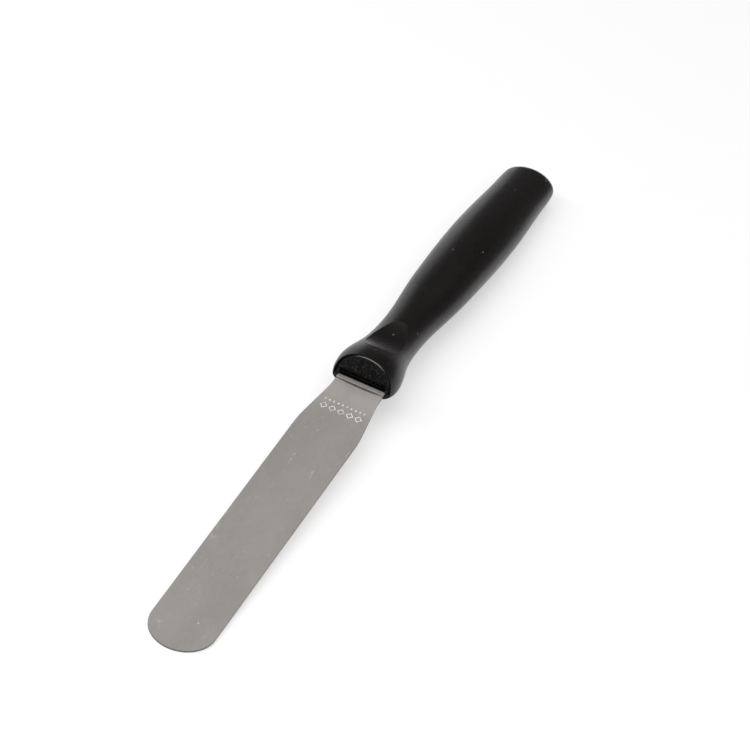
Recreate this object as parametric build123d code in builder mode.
from build123d import *
import os
from math import cos, pi, radians, sin

# A small offset palette knife: a stamped steel blade whose tang is held in a hard core, with the
# black handle moulded over both.
#
# Sizes are given in the handle's own frame. There +Y runs along the handle from its mouth (y = 0)
# to its butt, +Z is up, X is across, and the top face of the steel is at z = 0 where it leaves
# the mouth. That frame is laid down so that the knife rests on the plane z = 0, on the blade's
# nose and the handle's underside. The origin is under the middle of the knife.

# ---------------------------------------------------------------- driving dimensions, mm

# Blade, measured along its own slope
blade_width = 19.0
blade_reach = 120.8
steel = 0.6
blade_drop_angle = 7.4
mouth_flat = 1.15
step_run = 0.1
step_drop = 0.5
step_edge_round = 0.12
crease_half_length = 6.7
crease_width = 0.4
crease_depth = 0.3
neck_width = 14.7
neck_corner = 4.6
shoulder_corner = 21.4
neck_bend_radius = 20.0
shoulder_bend_radius = 50.0

# Tang, the hidden end of the blade
tang_width = 7.4
tang_length = 62.0
tang_neck = 5.0
key_hole = 3.6
key_hole_places = (18.0, 44.0)

# Handle stations: distance from the mouth, half width, top height, underside height
handle_stations = (
    (0.0, 9.0, 9.5, -3.2),
    (3.2, 9.75, 9.4, -3.5),
    (6.5, 9.6, 9.0, -3.5),
    (10.0, 8.95, 8.3, -3.5),
    (14.0, 8.0, 7.6, -3.6),
    (19.0, 7.3, 7.05, -3.8),
    (27.0, 6.9, 6.7, -4.1),
    (37.0, 7.2, 6.7, -4.5),
    (50.0, 8.35, 7.2, -4.9),
    (67.0, 9.25, 7.7, -5.4),
    (86.0, 9.7, 7.6, -5.7),
    (104.0, 9.25, 7.0, -5.6),
    (119.0, 8.5, 6.4, -5.1),
    (130.9, 7.6, 5.7, -4.5),
)
handle_length = handle_stations[-1][0]
section_points = 32
mouth_widest = 0.0
body_widest = 1.1
body_fullness = 2.1
mouth_fade = 18.0
butt_half = 12.0
butt_sag = 4.0
butt_round = 3.4
butt_tool_front = -1.0

# Core: its D-shaped front shows inside the mouth's rim
core_recess = 0.1
core_groove = 0.25
core_groove_depth = 1.2
core_half_width = 8.75
core_top = 9.3
core_fullness = 2.2
core_edge_bevel = 0.45
# Cuts across the foot of the D: height of the middle, height, depth from the mouth
foot_cuts = ((0.6, 1.2, 0.4), (0.65, 0.65, 1.6), (1.85, 1.3, 1.0))
foot_cut_width = 14.4
core_plug_depth = 7.0
core_plug_shrink = 0.72
core_bar_width = 9.6
core_bar_top = 2.6
core_bar_bottom = -1.9
core_bar_end = 70.0
core_bar_corner = 1.6

# The slot that the steel comes out of, a little wider and deeper than the sheet
slot_width = 15.3
slot_depth = 2.4
slot_bottom = -1.0

# Thumb recess, a scoop out of the top of the neck
recess_front = (6.5, 9.0)
recess_lowest = (17.0, 5.95)
recess_back = (28.0, 7.1)
tool_top = 20.0

# How the knife lies: the handle's slope, its mouth above its butt
rest_slope = 2.73

# ---------------------------------------------------------------- where the handle's frame lies

blade_slope = radians(blade_drop_angle)
blade_straight = blade_reach - mouth_flat - step_run
step_place = mouth_flat + step_run
nose_y = -step_place - blade_straight * cos(blade_slope)
nose_z = -step_drop - blade_straight * sin(blade_slope)
nose_underside = nose_z - steel * cos(blade_slope)
lean = radians(rest_slope)
mouth_height = nose_y * sin(lean) - nose_underside * cos(lean)
nose_reach = nose_y * cos(lean) + nose_z * sin(lean)
butt_reach = handle_length * cos(lean) + body_widest * sin(lean)
mouth_place = -(nose_reach + butt_reach) / 2
lying = Location((0, mouth_place, mouth_height), (-rest_slope, 0, 0))


def laid(plane):
    """A plane of the handle's frame, where the knife lies."""
    return Plane(lying * plane.location)


def across(distance):
    """The plane across the handle, a distance behind its mouth."""
    return laid(Plane.XZ.offset(-distance))


def fade(distance, length):
    """Falls smoothly from 1 at distance 0 to 0 at the given length."""
    if distance >= length:
        return 0.0
    return 0.5 + 0.5 * cos(pi * distance / length)


# ---------------------------------------------------------------- blade

# Side view of the sheet: along its upper face to the nose, and back along its lower face
side_points = (
    (tang_length, 0),
    (-mouth_flat, 0),
    (-step_place, -step_drop),
    (nose_y, nose_z),
    (nose_y + steel * sin(blade_slope), nose_underside),
    (-step_place, -step_drop - steel / cos(blade_slope)),
    (-mouth_flat, -steel),
    (tang_length, -steel),
)

# The outline is drawn on the slope of the blade, with y = 0 at the step
blade_normal = (0, -sin(blade_slope), cos(blade_slope))
step_point = (0, -step_place, -step_drop)
blade_plane = laid(Plane(origin=step_point, x_dir=(1, 0, 0), z_dir=blade_normal))
nose_radius = blade_width / 2
nose_centre = nose_radius - blade_straight
tang_front = step_place + tang_neck
tang_back = step_place + tang_length
half_neck = neck_width / 2
half_tang = tang_width / 2
side_outline = (
    (nose_radius, nose_centre),
    (nose_radius, step_place - shoulder_corner),
    (half_neck, step_place - neck_corner),
    (half_neck, tang_front),
)

with BuildPart() as blade:
    with BuildSketch(laid(Plane.YZ)):
        with BuildLine():
            Polyline(*side_points, close=True)
        make_face()
    extrude(amount=blade_width, both=True)
    with BuildSketch(blade_plane.offset(-blade_reach)):
        with BuildLine():
            RadiusArc((0, -blade_straight), (nose_radius, nose_centre), -nose_radius)
            FilletPolyline(*side_outline, radius=(shoulder_bend_radius, neck_bend_radius))
            Polyline((half_neck, tang_front), (half_tang, tang_front), (half_tang, tang_back))
            Line((half_tang, tang_back), (0, tang_back))
            mirror(about=Plane.YZ)
        make_face()
    extrude(amount=2 * blade_reach, mode=Mode.INTERSECT)
    with BuildSketch(laid(Plane.XY.offset(-2 * steel))):
        with Locations([(0, place) for place in key_hole_places]):
            Circle(key_hole / 2)
    extrude(amount=4 * steel, mode=Mode.SUBTRACT)
    # The step's upper edge is the highest straight edge across the blade
    fillet(blade.edges().filter_by(Axis.X).sort_by(Axis.Z)[-1], step_edge_round)
    # A crescent is pressed into the sheet along the foot of the step
    with BuildSketch(laid(Plane.XY.offset(-step_drop - crease_depth))):
        with BuildLine():
            crease_right = (crease_half_length, -step_place)
            crease_left = (-crease_half_length, -step_place)
            ThreePointArc(crease_left, (0, -step_place - crease_width), crease_right)
            Line(crease_right, crease_left)
        make_face()
    extrude(amount=step_drop + crease_depth, mode=Mode.SUBTRACT)

# ---------------------------------------------------------------- core


def d_face(distance, half_width, top):
    """The mouth's D at one distance: the upper half of an oval, with its flat side on the steel."""
    points = []
    for step in range(section_points // 2 + 1):
        angle = 2 * pi * step / section_points
        side = 1 if step < section_points // 4 else -1
        x = side * half_width * abs(cos(angle)) ** (2 / core_fullness)
        z = top * sin(angle) ** (2 / core_fullness)
        points.append((x, z))
    with BuildSketch(across(distance)) as section:
        with BuildLine():
            Spline(*points)
            Line(points[-1], points[0])
        make_face()
    return section.sketch


# The room that the core fills: a D-shaped plug that narrows backwards, and a bar round the tang
plug_back = core_groove_depth + core_plug_depth
plug_middle = core_groove_depth + core_plug_depth / 2
plug_back_half_width = core_half_width * core_plug_shrink
plug_back_top = core_top * core_plug_shrink
with BuildPart() as core_room:
    wide = d_face(core_groove_depth, core_half_width, core_top)
    narrow = d_face(plug_back, plug_back_half_width, plug_back_top)
    loft([wide, narrow])
    with BuildSketch(across(plug_middle)):
        with Locations((0, (core_bar_top + core_bar_bottom) / 2)):
            RectangleRounded(core_bar_width, core_bar_top - core_bar_bottom, core_bar_corner)
    extrude(amount=plug_middle - core_bar_end)

with BuildPart() as mouth_slot:
    with BuildSketch(across(0)):
        with Locations((0, slot_bottom / 2)):
            Rectangle(slot_width, -slot_bottom)
    extrude(amount=-slot_depth)

with BuildPart() as handle_core:
    add(core_room.part)
    # A narrow groove is left between the front of the plug and the mouth's rim
    front = d_face(core_recess, core_half_width - core_groove, core_top - core_groove)
    extrude(front, amount=core_recess - core_groove_depth - core_groove)
    # The long edge of the front is its curved one, which is bevelled
    front_edges = handle_core.faces().sort_by(Axis.Y)[0].edges()
    chamfer(front_edges.sort_by(SortBy.LENGTH)[-1], core_edge_bevel)
    # The foot of the D is set back, with one groove just above the steel and one above a thin lip
    for middle, height, depth in foot_cuts:
        with BuildSketch(across(0)):
            with Locations((0, middle)):
                Rectangle(foot_cut_width, height)
        extrude(amount=-depth, mode=Mode.SUBTRACT)
    add(blade.part, mode=Mode.SUBTRACT)

# ---------------------------------------------------------------- grip


def oval(half_width, top, bottom, widest, upper_fullness):
    """Points round a closed section, fuller than an ellipse where its fullness is above 2."""
    points = []
    for step in range(section_points):
        angle = 2 * pi * step / section_points
        upper = step <= section_points // 2
        fullness = upper_fullness if upper else body_fullness
        reach = top - widest if upper else bottom - widest
        side = 1 if cos(angle) > 0 else -1
        x = side * half_width * abs(cos(angle)) ** (2 / fullness)
        z = widest + reach * abs(sin(angle)) ** (2 / fullness)
        points.append((x, z))
    return points


def grip_section(distance, half_width, top, bottom):
    """The handle's outline at one station, as a face: a D at the mouth, an oval further back."""
    at_mouth = fade(distance, mouth_fade)
    widest = body_widest + (mouth_widest - body_widest) * at_mouth
    upper_fullness = body_fullness + (core_fullness - body_fullness) * at_mouth
    with BuildSketch(across(distance)) as section:
        with BuildLine():
            Spline(*oval(half_width, top, bottom, widest, upper_fullness), periodic=True)
        make_face()
    return section.sketch


with BuildPart() as thumb_tool:
    # Side view of what the recess takes away
    with BuildSketch(laid(Plane.YZ)):
        with BuildLine():
            TangentArc(recess_lowest, recess_front, tangent=(-1, 0))
            TangentArc(recess_lowest, recess_back, tangent=(1, 0))
            Polyline(recess_back, (recess_back[0], tool_top), (recess_front[0], tool_top))
            Line((recess_front[0], tool_top), recess_front)
        make_face()
    extrude(amount=blade_width, both=True)

with BuildPart() as handle_grip:
    loft([grip_section(*station) for station in handle_stations])
    # The butt is crowned across its width, then rounded over
    with BuildSketch(laid(Plane.XY.offset(-blade_width))):
        with BuildLine():
            crown_right = (butt_half, handle_length - butt_sag)
            crown_left = (-butt_half, handle_length - butt_sag)
            ThreePointArc(crown_left, (0, handle_length), crown_right)
            Polyline(crown_right, (butt_half, butt_tool_front), (-butt_half, butt_tool_front), crown_left)
        make_face()
    extrude(amount=2 * blade_width, mode=Mode.INTERSECT)
    fillet(handle_grip.faces().sort_by(Axis.Y)[-1].edges(), butt_round)
    add(thumb_tool.part, mode=Mode.SUBTRACT)
    add(core_room.part, mode=Mode.SUBTRACT)
    mouth = d_face(0, core_half_width, core_top)
    extrude(mouth, amount=-core_groove_depth, mode=Mode.SUBTRACT)
    add(mouth_slot.part, mode=Mode.SUBTRACT)
    add(blade.part, mode=Mode.SUBTRACT)

# ---------------------------------------------------------------- files

os.makedirs("parts", exist_ok=True)
blade.part.label = "blade"
handle_core.part.label = "handle_core"
handle_grip.part.label = "handle_grip"
export_step(blade.part, "parts/blade.step")
export_step(handle_core.part, "parts/handle_core.step")
export_step(handle_grip.part, "parts/handle_grip.step")
